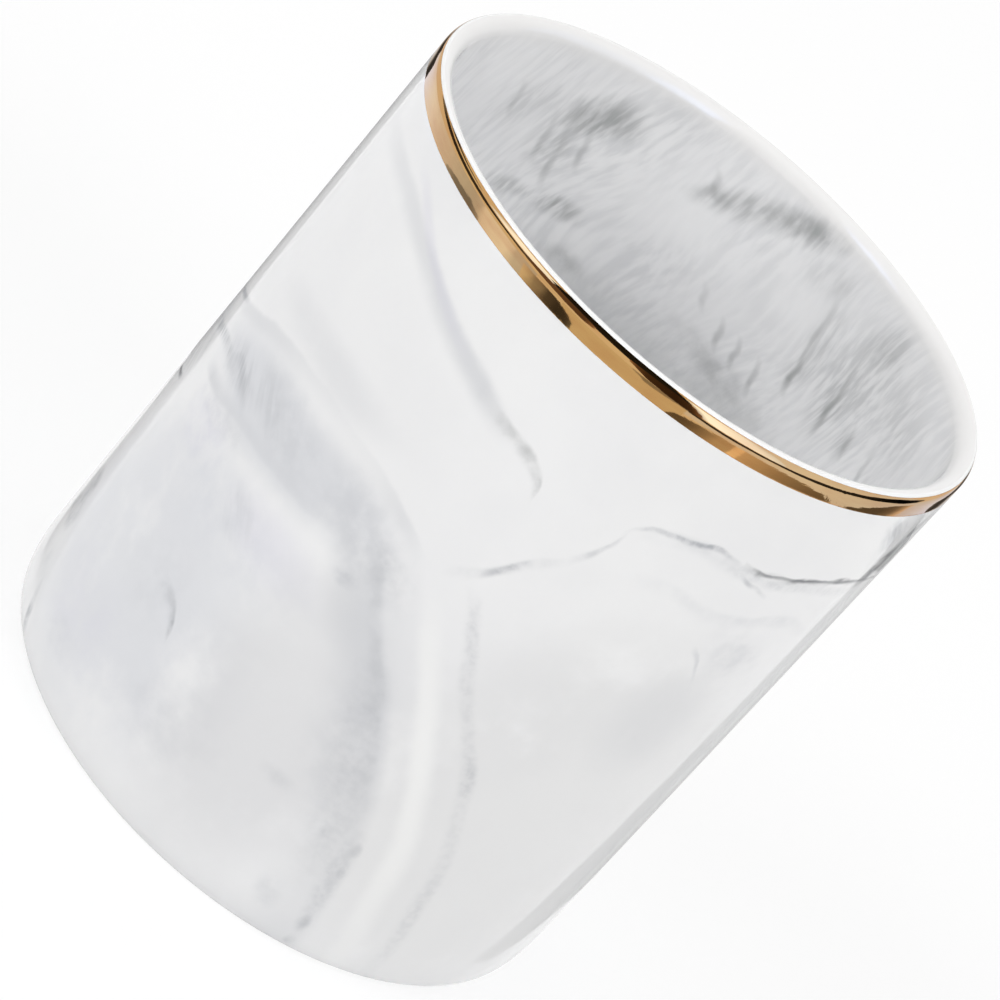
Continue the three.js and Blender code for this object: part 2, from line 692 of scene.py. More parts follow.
@dataclass(frozen=True)
class ClearGlaze(Finish):
    """Clear gloss glaze over white stoneware, dipped and fired.

    It gives the eye a white, glassy surface with sharp reflections that swim a little.

    Attributes:
        name: The material's name.
        colour: Colour of the clay under the glaze.
        roughness: Roughness of the glaze.
        ior: Its index of refraction.
        ripple: Width of its slow waves, in millimetres.
        ripple_height: Height of those waves, in millimetres.
    """

    name: str = "clear_glaze"
    colour: str = GLAZE_WHITE
    roughness: float = 0.06
    ior: float = 1.5
    ripple: float = 9.0
    ripple_height: float = 0.003

    def base_colour(self, tree: NodeTree, place: Node) -> object:
        """Gives the colour under the glaze.

        Args:
            tree: The material's node tree.
            place: The position on the cup, in millimetres.

        Returns:
            A linear colour here, or the output socket of nodes that make one.
        """
        return linear(self.colour)

    def inputs(self, tree: NodeTree, place: Node) -> dict[str, object]:
        """Adds the colour and the slow ripple.

        Args:
            tree: The material's node tree.
            place: The position on the cup, in millimetres.

        Returns:
            What goes into the shader's sockets.
        """
        wave = add(tree, NOISE, {"Vector": place, "Scale": 1 / self.ripple, "Detail": 1.0})
        return {
            "Base Color": self.base_colour(tree, place),
            "Roughness": self.roughness,
            "IOR": self.ior,
            "Normal": add(tree, BUMP, {"Height": wave, "Distance": self.ripple_height * MM}),
        }


@dataclass(frozen=True)
class MarbledGlaze(ClearGlaze):
    """Grey stain floated under the clear glaze, so that it drifts into clouds, feathers and thin veins.

    Attributes:
        radius: The radius of the wall that carries it, in millimetres.
        ragged: How far its edges are frayed, in millimetres.
        clouds: Soft patches, laid down first.
        veins: Lines, laid over the clouds.
        lip: Heights between which it fades out to white towards the lip, in millimetres.
        drift: How far the ground drifts from its colour to a faint haze, from 0 to 1.
        wash: How dark the streaks are that cover the whole ground, from 0 to 1.
        feather: The streaks into which the stain is drawn out.
    """

    radius: float = 40.0
    ragged: float = 0.5
    clouds: tuple[Cloud, ...] = ()
    veins: tuple[Vein, ...] = ()
    lip: tuple[float, float] | None = None
    drift: float = 0.3
    wash: float = 0.0
    feather: Feather = Feather()

    def base_colour(self, tree: NodeTree, place: Node) -> NodeSocket:
        """Paints the marbling.

        Args:
            tree: The material's node tree.
            place: The position on the cup, in millimetres.

        Returns:
            The output socket with the painted colour.
        """
        painter = Painter(tree, place, self.radius, self.ragged, self.feather)
        ground = self.ground(painter)
        for cloud in self.clouds:
            ground = painter.cloud(ground, cloud)
        for vein in self.veins:
            ground = painter.vein(ground, vein)
        if self.lip:
            limits = {0: painter.axes["Z"], 1: self.lip[0], 2: self.lip[1]}
            fade = add(tree, MAP_RANGE, limits, interpolation_type="SMOOTHSTEP")
            ground = painter.lay(ground, fade, 1.0, LIP_WHITE)
        return ground

    def ground(self, painter: Painter) -> NodeSocket:
        """Lays the glaze's ground, which drifts a little in tone.

        Args:
            painter: The painter.

        Returns:
            The ground colour.
        """
        tree = painter.tree
        tone = painter.patches(22.0, 7.0, detail=4.0)
        haze = add(tree, MAP_RANGE, {0: tone, 1: 0.35, 2: 0.65}, interpolation_type="SMOOTHSTEP")
        plain = add(tree, "ShaderNodeRGB").outputs[0]
        plain.default_value = linear(self.colour)
        ground = painter.lay(plain, haze, self.drift, HAZE)
        if self.wash:
            uneven = painter.patches(11.0, 12.0, detail=2.0)
            share = add(tree, MAP_RANGE, {0: uneven, 1: 0.35, 2: 0.65, 3: 0.15, 4: 1.0})
            streaks = add(tree, MATH, {0: painter.grains[Grain.FEATHERED], 1: share}, operation="MULTIPLY")
            ground = painter.lay(ground, streaks, self.wash, ASH)
        return ground


@dataclass(frozen=True)
class BareClay(Finish):
    """Fired stoneware clay, wiped clean of glaze where the cup stands.

    It gives the eye a dull, slightly sandy off-white ring. The photograph doesn't show the foot, so the
    size of its grit is a guess, on the coarse side so that it shows.

    Attributes:
        name: The material's name.
        colour: Colour of the clay.
        speck: Colour of its grit.
        grit: Size of the grit, in millimetres.
        relief: How far the grit stands out, in millimetres.
        roughness: Roughness of the clay.
    """

    name: str = "bare_stoneware"
    colour: str = "#DDD6CA"
    speck: str = "#B9AE9D"
    grit: float = 0.6
    relief: float = 0.05
    roughness: float = 0.85

    def inputs(self, tree: NodeTree, place: Node) -> dict[str, object]:
        """Adds the grit.

        Args:
            tree: The material's node tree.
            place: The position on the cup, in millimetres.

        Returns:
            What goes into the shader's sockets.
        """
        grain = add(tree, NOISE, {"Vector": place, "Scale": 1 / self.grit, "Detail": 3.0})
        specks = add(tree, MAP_RANGE, {0: grain, 1: 0.55, 2: 0.75})
        blend = {MIX_SHARE: specks, MIX_UNDER: linear(self.colour), MIX_OVER: linear(self.speck)}
        return {
            "Base Color": add(tree, MIX, blend, data_type="RGBA").outputs[MIX_RESULT],
            "Roughness": self.roughness,
            "Normal": add(tree, BUMP, {"Height": grain, "Distance": self.relief * MM}),
        }


@dataclass(frozen=True)
class GoldLustre(Finish):
    """Liquid bright gold, brushed over the fired glaze and fired again at a low heat.

    It gives the eye a thin mirror film, smooth but for faint brush drag and a fine orange peel.

    Attributes:
        radius: Radius of the wall that carries it, in millimetres.
        bottom: Height of its lower edge, in millimetres.
        width: Millimetres from there up to the lip's shoulder.
        name: The material's name.
        colour: Colour of the gold where it is thick.
        thin_colour: Colour where the brush left it thin.
        roughness: Its roughness from thick to thin.
        lean: How far the film is thinner at the shoulder than at its lower edge, in millimetres. That
            leans its mirror upwards, more so the higher it lies.
        peel: Width of the dimples of the orange peel, in millimetres.
        peel_height: Depth of those dimples, in millimetres.
        drag: Length of the brush drag, in millimetres. It is six times as fine across the band.
        drag_height: Depth of the brush drag, in millimetres.
        worn: Degrees round the cup and millimetres up it, at the middle of a pitted patch.
        worn_reach: Millimetres over which the pits fade out.
        pit: Width of a pit, in millimetres.
        pit_height: Depth of a pit, in millimetres.
    """

    radius: float
    bottom: float
    width: float
    name: str = "bright_gold_lustre"
    colour: str = "#CDA46C"
    thin_colour: str = "#C59662"
    roughness: tuple[float, float] = (0.03, 0.075)
    lean: float = 0.12
    peel: float = 0.9
    peel_height: float = 0.0015
    drag: float = 7.0
    drag_height: float = 0.012
    worn: tuple[float, float] = (45.7, 86.4)
    worn_reach: float = 3.4
    pit: float = 0.7
    pit_height: float = 0.03

    def inputs(self, tree: NodeTree, place: Node) -> dict[str, object]:
        """Adds the brush drag, the peel, the pits and the lean.

        Args:
            tree: The material's node tree.
            place: The position on the band, in millimetres.

        Returns:
            What goes into the shader's sockets.
        """
        drawn = add(tree, VECTOR_MATH, {0: place, 1: (1.0, 1.0, 6.0)}, operation="MULTIPLY")
        drag = add(tree, NOISE, {"Vector": drawn, "Scale": 1 / self.drag, "Detail": 4.0})
        tone = add(tree, MAP_RANGE, {0: drag, 1: 0.35, 2: 0.7})
        blend = {MIX_SHARE: tone, MIX_UNDER: linear(self.colour), MIX_OVER: linear(self.thin_colour)}
        roughness = {0: drag, 1: 0.3, 2: 0.7, 3: self.roughness[0], 4: self.roughness[1]}
        peel = add(tree, NOISE, {"Vector": place, "Scale": 1 / self.peel, "Detail": 2.0})
        middle = towards(self.worn[0]) * self.radius + Vector((0.0, 0.0, self.worn[1]))
        away = add(tree, VECTOR_MATH, {0: place, 1: middle}, operation="DISTANCE").outputs["Value"]
        share = add(tree, MAP_RANGE, {0: away, 1: 0.5, 2: self.worn_reach, 3: 1.0, 4: 0.0})
        grain = add(tree, NOISE, {"Vector": place, "Scale": 1 / self.pit, "Detail": 3.0})
        pits = add(tree, MATH, {0: grain, 1: share}, operation="MULTIPLY")
        height = add(tree, "ShaderNodeSeparateXYZ", {0: place}).outputs["Z"]
        across = add(tree, MAP_RANGE, {0: height, 1: self.bottom, 2: self.bottom + self.width}, clamp=False)
        fall = add(tree, MATH, {0: across, 1: across}, operation="MULTIPLY")
        lean = add(tree, MATH, {0: 1.0, 1: fall}, operation="SUBTRACT")
        normal = add(tree, BUMP, {"Height": peel, "Distance": self.peel_height * MM})
        for relief, depth in ((pits, self.pit_height), (drag, self.drag_height), (lean, self.lean)):
            normal = add(tree, BUMP, {"Height": relief, "Distance": depth * MM, "Normal": normal})
        return {
            "Base Color": add(tree, MIX, blend, data_type="RGBA").outputs[MIX_RESULT],
            "Metallic": 1.0,
            "Roughness": add(tree, MAP_RANGE, roughness),
            "Normal": normal,
        }


def outside_clouds() -> tuple[Cloud, ...]:
    """Lays out the clouds of the outside.

    Returns:
        The clouds, in the order in which they are laid down.
    """
    feathered, mottled, speckled = Grain.FEATHERED, Grain.MOTTLED, Grain.SPECKLED
    return (
        # Broad pale washes low on the near side
        Cloud((-42, 21), (28, 25), 0, 0.4, COOL_GREY, edge=0.55),
        Cloud((-4, 22), (17, 25), 0, 0.4, DOVE_GREY, edge=0.6),
        Cloud((-24, 40), (12, 6), 0, 0.3, LILAC),
        Cloud((-52, 40), (9, 5), 0, 0.3, LILAC, mottled),
        Cloud((-46, 12), (14, 9), 0, 0.15, LILAC, mottled),
        Cloud((-36, 37), (26, 8), 0, 0.25, COOL_GREY, mottled),
        Cloud((-18, 14), (12, 8), 20, 0.2, STONE_GREY, mottled),
        Cloud((-36, 24), (10, 9), 0, 0.16, STONE_GREY, mottled),
        Cloud((45, 30), (30, 38), 0, 0.4, PEARL, edge=0.4),
        # The slanting smear at the left
        Cloud((-38, 49.2), (27, 7.2), 6, 0.45, BLUE_GREY, edge=0.55),
        Cloud((-36, 50.5), (13, 5.5), -8, 0.35, STONE_GREY, mottled),
        Cloud((-50, 47.6), (3, 1.4), 10, 0.2, ASH, mottled),
        Cloud((-57, 46.6), (3, 1.2), 10, 0.25, ASH, mottled),
        Cloud((-54, 47.5), (9, 3.4), 6, 0.38, ASH, feathered),
        Cloud((-42, 50), (8, 3.4), -20, 0.16, ASH, feathered),
        Cloud((-50, 42.5), (10, 2.6), 8, 0.3, STONE_GREY, mottled),
        Cloud((-12, 50), (13, 6), -20, 0.45, STONE_GREY, mottled),
        Cloud((-38, 60), (20, 4), 4, 0.2, STONE_GREY),
        # The shaded side of the arch that runs from the smear down to the foot
        Cloud((2, 40), (15, 9), -50, 0.22, STONE_GREY),
        Cloud((9, 27), (17, 7), -68, 0.25, STONE_GREY, mottled),
        Cloud((9, 29), (19, 4), -66, 0.2, ASH, speckled),
        Cloud((22, 11), (10, 2), -82, 0.32, ASH, speckled),
        Cloud((17, 16), (9, 5), -75, 0.14, ASH, speckled),
        Cloud((-6, 49), (6, 3), -30, 0.22, ASH, speckled),
        Cloud((3, 19.5), (3.2, 1.8), 0, 0.2, ASH, mottled),
        # Small flecks along the arch
        Cloud((15, 17), (1.2, 1.4), 0, 0.6, ASH, mottled),
        Cloud((21.5, 17), (1.0, 1.6), 20, 0.3, ASH, mottled),
        Cloud((22.4, 13), (0.9, 1.2), 20, 0.35, ASH, mottled),
        Cloud((23.3, 4.6), (1.1, 1.8), 0, 0.45, ASH, mottled),
        Cloud((23.6, 1.6), (1.0, 1.2), 0, 0.4, ASH, mottled),
        # Thin patches between the larger forms
        Cloud((-7, 43), (9, 5), -50, 0.22, STONE_GREY),
        Cloud((15, 6), (2.5, 4), 10, 0.3, STONE_GREY, mottled),
        Cloud((54, 62), (8, 5), -20, 0.35, STONE_GREY, mottled),
        Cloud((50, 50), (9, 13), 0, 0.2, STONE_GREY),
        Cloud((-32, 38.5), (5, 3.6), -35, 0.4, STONE_GREY, feathered),
        Cloud((-10, 45), (2.4, 1.6), 0, 0.5, STONE_GREY, speckled),
        Cloud((-45, 7), (5, 3), 0, 0.25, STONE_GREY, mottled),
        # Mostly dark patches at the left and right edges of the view
        Cloud((-73, 14.5), (5, 5.5), 10, 0.35, ASH, mottled),
        Cloud((-73.5, 17), (3.2, 2.8), 10, 0.5, INK, mottled),
        Cloud((-73.4, 13), (3, 2.8), -20, 0.5, INK, mottled),
        Cloud((-70, 12.5), (2.6, 3.2), 0, 0.5, ASH, mottled),
        Cloud((-12, 40), (9, 6), 20, 0.2, DOVE_GREY),
        Cloud((-70, 7), (7, 4), -10, 0.3, STONE_GREY, mottled),
        Cloud((-58, 3), (1.2, 4.5), 35, 0.85, ASH, mottled),
        Cloud((-77, 41), (8, 10), 10, 0.3, ASH, feathered),
        Cloud((68, 83), (3, 4.5), 35, 0.6, ASH, feathered),
        Cloud((68.6, 81), (2.8, 5), 10, 0.25, STONE_GREY, mottled),
        # The far side
        Cloud((258, 47.5), (22, 7), -8, 0.45, BLUE_GREY, edge=0.5),
        Cloud((254, 47), (13, 4), -8, 0.5, ASH, feathered),
        Cloud((130, 38), (22, 15), 12, 0.35, COOL_GREY, edge=0.5),
        Cloud((236, 20), (26, 15), -5, 0.35, COOL_GREY, edge=0.5),
        Cloud((152, 78), (14, 4.5), -10, 0.4, STONE_GREY, feathered),
        Cloud((188, 34), (9, 7), 60, 0.4, STONE_GREY, mottled),
    )


def outside_veins() -> tuple[Vein, ...]:
    """Lays out the veins of the outside.

    Returns:
        The veins, in the order in which they are laid down.
    """
    feathered, mottled, speckled = Grain.FEATHERED, Grain.MOTTLED, Grain.SPECKLED
    return (
        # The sweep that comes down from the band and ends in a hook
        Vein(
            ((-76, 79.5, 0), (-56, 80.5, 0.25), (-38, 78.5, 0.35), (-25, 76, 0.4), (-13, 73.8, 0.5),
             (-4, 72, 0)),
            (3.0, 1.8), STONE_GREY,
        ),
        Vein(
            ((-52, 83.5, 0), (-44, 81.5, 0.2), (-35, 78.6, 0.25), (-26, 76.4, 0.2), (-16, 74.4, 0)),
            (1.5, 1.5), DUSKY_LILAC,
        ),
        Vein(
            ((-14, 73.8, 0), (-6, 72.6, 0.4), (-1, 72.1, 0.5), (1.6, 71.2, 0.62), (3.4, 69.8, 0.66),
             (4.2, 67.4, 0)),
            (2.0, 1.0), SMOKE, mottled,
        ),
        # The dark vein at the right, its spurs and the faint lines under it
        Vein(
            ((42, 74.3, 0), (46, 74.2, 0.7), (50, 74.6, 0.5), (56, 74.9, 0.8), (62, 75.2, 0.6),
             (67, 75.1, 0.7), (73, 74.8, 0.4), (90, 73, 0.5), (118, 69, 0)),
            (0.55, 0.35), INK,
        ),
        Vein(
            ((40.5, 75, 0), (44, 74.1, 0.9), (48, 74.6, 0.3), (51, 74.4, 0.9), (55, 75, 0.8),
             (60, 74.9, 0.4), (64, 75.5, 0.9), (68, 75, 0.3), (73, 74.6, 0)),
            (1.0, 0.6), INK, mottled,
        ),
        Vein(
            ((71.6, 73.2, 0), (72.4, 75, 0.8), (73.4, 77.4, 1), (75, 80, 0.75), (77.4, 83.5, 0.4),
             (80, 87.5, 0)),
            (2.0, 3.2), INK, mottled, upright=True,
        ),
        Vein(
            ((41, 73.2, 0), (44, 72.2, 0.5), (47, 71.9, 0.3), (50, 71.2, 0)),
            (0.6, 0.5), ASH, mottled,
        ),
        Vein(
            ((34, 73.4, 0), (44, 73.2, 0.3), (56, 73.8, 0.25), (66, 73.6, 0.2), (80, 73, 0)),
            (1.6, 1.2), ASH, speckled,
        ),
        # The line that climbs to it from the middle
        Vein(
            ((1, 53.9, 0), (6, 56.5, 0.2), (8.6, 59, 0.95), (11, 61.2, 0.3), (15, 64, 0.1), (18.3, 68, 0.5),
             (20, 71.5, 0)),
            (1.9, 1.2), ASH, mottled,
        ),
        Vein(
            ((18.6, 69.5, 0), (21.5, 72.7, 0.3), (26, 73.7, 0.5), (31.5, 74.3, 1), (34, 74.8, 0.9),
             (38, 74.4, 0.25), (45, 73, 0)),
            (0.8, 0.6), ASH, speckled,
        ),
        Vein(
            ((20, 71.5, 0), (26, 73.6, 0.2), (32, 74.2, 0.35), (36, 74.2, 0.25), (42, 73.2, 0)),
            (2.4, 1.2), STONE_GREY, mottled,
        ),
        # Lines along the smear at the left, and two small marks below it
        Vein(
            ((-84, 48, 0), (-67, 50.8, 0.4), (-49, 55.3, 0.3), (-38, 57, 0.12), (-27, 57.6, 0.06),
             (-17, 57, 0.12), (-10, 55.4, 0.3), (-2, 52.8, 0)),
            (2.4, 1.0), STONE_GREY,
        ),
        Vein(
            ((-84, 42.5, 0), (-74, 44.8, 0.8), (-66, 46.2, 0.7), (-60, 46.8, 0.35), (-55, 48.2, 0.35),
             (-50, 47, 0.25), (-45, 45.5, 0)),
            (1.4, 0.9), ASH, feathered,
        ),
        Vein(
            ((-84, 47.5, 0), (-78, 48.5, 0.9), (-73, 49.6, 0.6), (-68, 50.8, 0)),
            (0.8, 0.6), ASH,
        ),
        Vein(
            ((-82, 34.5, 0), (-78, 35.4, 1), (-75, 36, 0.8), (-72, 36.4, 0)),
            (0.8, 0.5), INK,
        ),
        Vein(
            ((-66, 42.5, 0), (-60, 43, 0.5), (-54, 43.4, 0.3), (-44, 45, 0.2), (-30, 46.6, 0.15),
             (-18, 47.8, 0.1), (-10, 48.5, 0)),
            (1.0, 2.0), STONE_GREY,
        ),
        Vein(
            ((-36, 24.8, 0), (-33, 24.6, 0.3), (-29.5, 23.6, 0.4), (-27.6, 22, 0.65), (-26.8, 20.6, 0)),
            (1.8, 1.1), ASH, mottled,
        ),
        # The arch, from its grey flank to its white ridge and its gritty outer line
        Vein(
            ((23.6, -3, 0.2), (22, 10, 0.2), (18, 20, 0.2), (14, 28, 0.32), (10, 33.5, 0.36),
             (4.5, 38.5, 0.32), (-1.5, 43, 0.28), (-6.5, 47.5, 0.25), (-11, 52, 0)),
            (10.0, 2.6), STONE_GREY, upright=True,
        ),
        Vein(
            ((23, 1, 0), (21.5, 12, 0), (17.5, 21, 0.05), (13, 28.5, 0.2), (9, 34, 0.3), (5, 38, 0.22),
             (0, 42.4, 0.2), (-5, 47, 0.2), (-8, 50, 0)),
            (2.6, 1.4), ASH, mottled, upright=True,
        ),
        Vein(
            ((33, -3, 0.4), (32, 6, 0.5), (29.5, 15, 0.7), (25, 24.5, 0.85), (20, 32, 0.9), (13, 40, 0.8),
             (7, 46, 0.6), (1.5, 51.5, 0)),
            (2.6, 3.2), MILK, upright=True,
        ),
        Vein(
            ((40, -2, 0), (39.4, 9, 0.3), (38.2, 14, 0.35), (36.2, 20, 0.25), (33, 26, 0.2),
             (30.5, 30, 0.2), (28.6, 33.5, 0.6), (25.8, 36.3, 0.3), (20, 41, 0.25), (15.8, 45, 0.35),
             (11.5, 50, 0.4), (7, 54.5, 0)),
            (1.9, 1.6), PEWTER, speckled, upright=True,
        ),
        # Faint lines at the right
        Vein(
            ((24, 66.2, 0), (32, 67.4, 0.12), (40, 66.6, 0.2), (48, 67, 0.25), (58, 68.3, 0.28),
             (66, 67, 0.15), (74, 65, 0)),
            (2.2, 1.2), STONE_GREY, mottled,
        ),
        Vein(
            ((44, 61.6, 0), (46, 60.8, 0.35), (48, 59.3, 0.4), (50.5, 56.5, 0)),
            (0.8, 0.8), STONE_GREY,
        ),
        # The far side
        Vein(
            ((112, 70.5, 0), (128, 67, 0.8), (146, 68.5, 0.5), (165, 65, 0.7), (182, 58, 0.5),
             (200, 55.5, 0)),
            (0.8, 0.5), ASH, mottled,
        ),
        Vein(
            ((190, 51, 0), (205, 50, 0.35), (222, 54.5, 0.4), (242, 57, 0.3), (260, 52.5, 0.4),
             (280, 46.8, 0)),
            (3.0, 0.8), STONE_GREY,
        ),
        Vein(
            ((204, -2, 0.3), (201, 12, 0.45), (196, 24, 0.5), (187, 35, 0.5), (177, 46, 0.4), (168, 56, 0)),
            (2.4, 8.0), STONE_GREY, upright=True,
        ),
        Vein(
            ((196, -2, 0.5), (192, 14, 0.6), (186, 25, 0.65), (177, 36, 0.6), (167, 47, 0.6), (161, 54, 0)),
            (3.0, 2.6), MILK, upright=True,
        ),
        Vein(
            ((96, 22, 0), (112, 29, 0.5), (128, 27.5, 0.4), (146, 34, 0.5), (160, 33, 0)),
            (1.2, 0.8), STONE_GREY, mottled,
        ),
    )


def inside_clouds() -> tuple[Cloud, ...]:
    """Lays out the clouds of the inside.

    Returns:
        The clouds, in the order in which they are laid down.
    """
    feathered, mottled = Grain.FEATHERED, Grain.MOTTLED
    return (
        # The far wall, which the photograph shows
        # Painted shade: a broad grey band low on the far wall, just over the near lip, where less light
        # reaches
        Cloud((178, 57), (52, 7), 0, 0.35, MIST),
        Cloud((125, 80), (14, 8), 0, 0.35, MIST, feathered),
        Cloud((141, 75), (8, 10), -10, 0.34, SMOKE, feathered),
        Cloud((141, 71), (3, 6), 0, 0.35, SMOKE, feathered),
        Cloud((152, 74), (3, 9), -8, 0.3, SMOKE, feathered),
        Cloud((139, 83), (6, 4.5), -40, 0.45, SMOKE, feathered),
        Cloud((132, 71), (3, 4), 0, 0.35, SMOKE, feathered),
        Cloud((168, 84.6), (8, 3.4), -24, 0.55, SMOKE, feathered),
        Cloud((166, 85.2), (6.5, 2.9), -20, 0.5, SMOKE, mottled),
        Cloud((173, 83.4), (6.5, 2.9), -30, 0.46, SMOKE, mottled),
        Cloud((182, 80.8), (8, 3), -28, 0.6, SMOKE, feathered),
        Cloud((186, 79.6), (5.5, 2.4), -30, 0.36, SMOKE, mottled),
        Cloud((158, 82), (6, 3), -30, 0.3, SMOKE, feathered),
        Cloud((205, 62), (7, 3), 0, 0.3, GLAZE_WHITE),
        Cloud((204, 85), (16, 3.4), -10, 0.12, MIST, feathered),
        Cloud((214, 79.4), (7.5, 4), -15, 0.38, SMOKE, mottled),
        Cloud((214, 80), (8, 4.4), -15, 0.7, SMOKE, feathered),
        Cloud((219, 74), (6, 7), 0, 0.35, SMOKE, feathered),
        Cloud((232, 78), (9, 5), -20, 0.22, SMOKE, feathered),
        Cloud((210, 66), (5.5, 2.4), 0, 0.7, SMOKE, feathered),
        Cloud((222, 66), (5, 2), 0, 0.45, SMOKE, feathered),
        Cloud((202, 60), (5, 2.2), 0, 0.45, SMOKE, mottled),
        # Painted shade: a darker stretch of that low band, from about 149 to 181 degrees
        Cloud((165, 62), (16, 3.4), 0, 0.4, SMOKE, mottled),
        Cloud((190, 74), (14, 6), 0, 0.5, GLAZE_WHITE),
        Cloud((163, 77), (8, 7), 0, 0.5, GLAZE_WHITE),
        Cloud((243, 84), (12, 8), 0, 0.5, GLAZE_WHITE),
        Cloud((118, 85), (10, 6), 0, 0.4, GLAZE_WHITE),
        # The near wall
        Cloud((-40, 62), (16, 8), 20, 0.5, SMOKE, feathered),
        Cloud((22, 48), (13, 10), -15, 0.4, SMOKE, feathered),
        Cloud((52, 74), (10, 6), 0, 0.5, SMOKE, feathered),
        Cloud((-8, 24), (18, 8), 10, 0.35, MIST, mottled),
        # Low on the far wall
        Cloud((150, 34), (15, 9), 15, 0.4, SMOKE, feathered),
        Cloud((216, 28), (13, 8), -20, 0.4, SMOKE, feathered),
    )


def streak(degrees: float, low: float, high: float, dark: float) -> Vein:
    """Draws one short streak on the inside, which leans a little and is darkest a third of the way up.

    Args:
        degrees: Where it stands, in degrees round the cup.
        low: Height of its lower end, in millimetres.
        high: Height of its upper end.
        dark: How dark it is.

    Returns:
        The streak.
    """
    third = (high - low) / 3
    course = (
        (degrees - 1.5, low, 0), (degrees, low + third, dark),
        (degrees + 0.5, high - third, 0.7 * dark), (degrees + 2, high, 0),
    )
    return Vein(course, (1.0, 0.8), SMOKE, upright=True)


def inside_veins() -> tuple[Vein, ...]:
    """Lays out the veins of the inside.

    Returns:
        The veins, in the order in which they are laid down.
    """
    # Each streak's degrees, lower and upper height, and how dark it is
    streaks = (
        (122, 69, 75, 0.35), (131, 69, 74, 0.4), (141, 67, 78, 0.75), (151.5, 67, 74, 0.8),
        (154, 73, 82, 0.35), (157, 63, 68.5, 0.5), (163.5, 63.5, 68.5, 0.45), (168.5, 63.5, 68.5, 0.45),
        (175.5, 66, 70, 0.25), (213, 71, 79, 0.4), (217, 67, 77, 0.45), (222, 70, 79, 0.4),
        (235, 75, 81, 0.35), (188, 79, 83, 0.4),
    )
    near = Vein(
        ((-78, 68, 0), (-52, 60, 0.5), (-25, 63, 0.6), (0, 56, 0.5), (28, 60, 0.6), (56, 68, 0.5),
         (80, 66, 0)),
        (3.0, 1.8), SMOKE, Grain.FEATHERED,
    )
    return (near, *(streak(*numbers) for numbers in streaks))


@dataclass(frozen=True)
class Lip:
    """The lip's outer side, a shoulder that curves in from the wall to the crest, in millimetres.

    Attributes:
        outer: Radius of the wall's outside.
        crest_height: Height of the crest, which is the top of the cup.
        width: How far the shoulder comes in to the crest.
        height: How far the shoulder reaches down from the crest.
    """

    outer: float
    crest_height: float
    width: float = 0.7
    height: float = 1.4

    @property
    def crest(self) -> float:
        """Radius of the crest."""
        return self.outer - self.width

    @property
    def shoulder(self) -> float:
        """Height at which the shoulder starts."""
        return self.crest_height - self.height


@dataclass(frozen=True)
class GoldBand:
    """The band of gold, flush with the wall, whose top runs out on the lip's shoulder. In millimetres.

    Attributes:
        lip: The lip that it follows.
        bottom: Height of its lower edge.
        top: Height at which it runs out.
    """

    lip: Lip
    bottom: float
    top: float

    @property
    def turn(self) -> float:
        """The share of the shoulder's quarter turn at which the band runs out."""
        return math.asin((self.top - self.lip.shoulder) / self.lip.height) / (math.pi / 2)

    @property
    def inner(self) -> float:
        """Radius of its inner face."""
        return self.lip.crest + self.lip.width * math.cos(self.turn * math.pi / 2)

    def build(self, lathe: Lathe) -> Object:
        """Turns and dresses the band.

        Args:
            lathe: The lathe.

        Returns:
            The band.
        """
        sizes = {
            "Inner Radius": self.inner,
            "Outer Radius": self.lip.outer,
            "Crest Radius": self.lip.crest,
            "Bottom Height": self.bottom,
            "Shoulder Height": self.lip.shoulder,
            "Crest Height": self.lip.crest_height,
            "Top Height": self.top,
        }
        shoulder, crest = ("Outer Radius", "Shoulder Height"), ("Crest Radius", "Crest Height")
        inner_foot, outer_foot = ("Inner Radius", "Bottom Height"), ("Outer Radius", "Bottom Height")
        stretches = [
            Stretch(inner_foot, outer_foot, 1),
            Stretch(outer_foot, shoulder, 6),
            Stretch(shoulder, crest, 12, bend=Bend.UPRIGHT_FIRST, share=(0.0, self.turn)),
            Stretch(("Inner Radius", "Top Height"), inner_foot, 2),
        ]
        gold = GoldLustre(self.lip.outer, self.bottom, self.lip.shoulder - self.bottom)
        band = lathe.turn("gold_lustre_band", sizes, stretches, [gold.material()])
        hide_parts("gold_band")
        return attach(band, BODY)


class Coat(IntEnum):
    """What covers a stretch of the cup, by its number among the cup's finishes."""

    OUTSIDE = 0
    INSIDE = 1
    PLAIN = 2
    BARE = 3


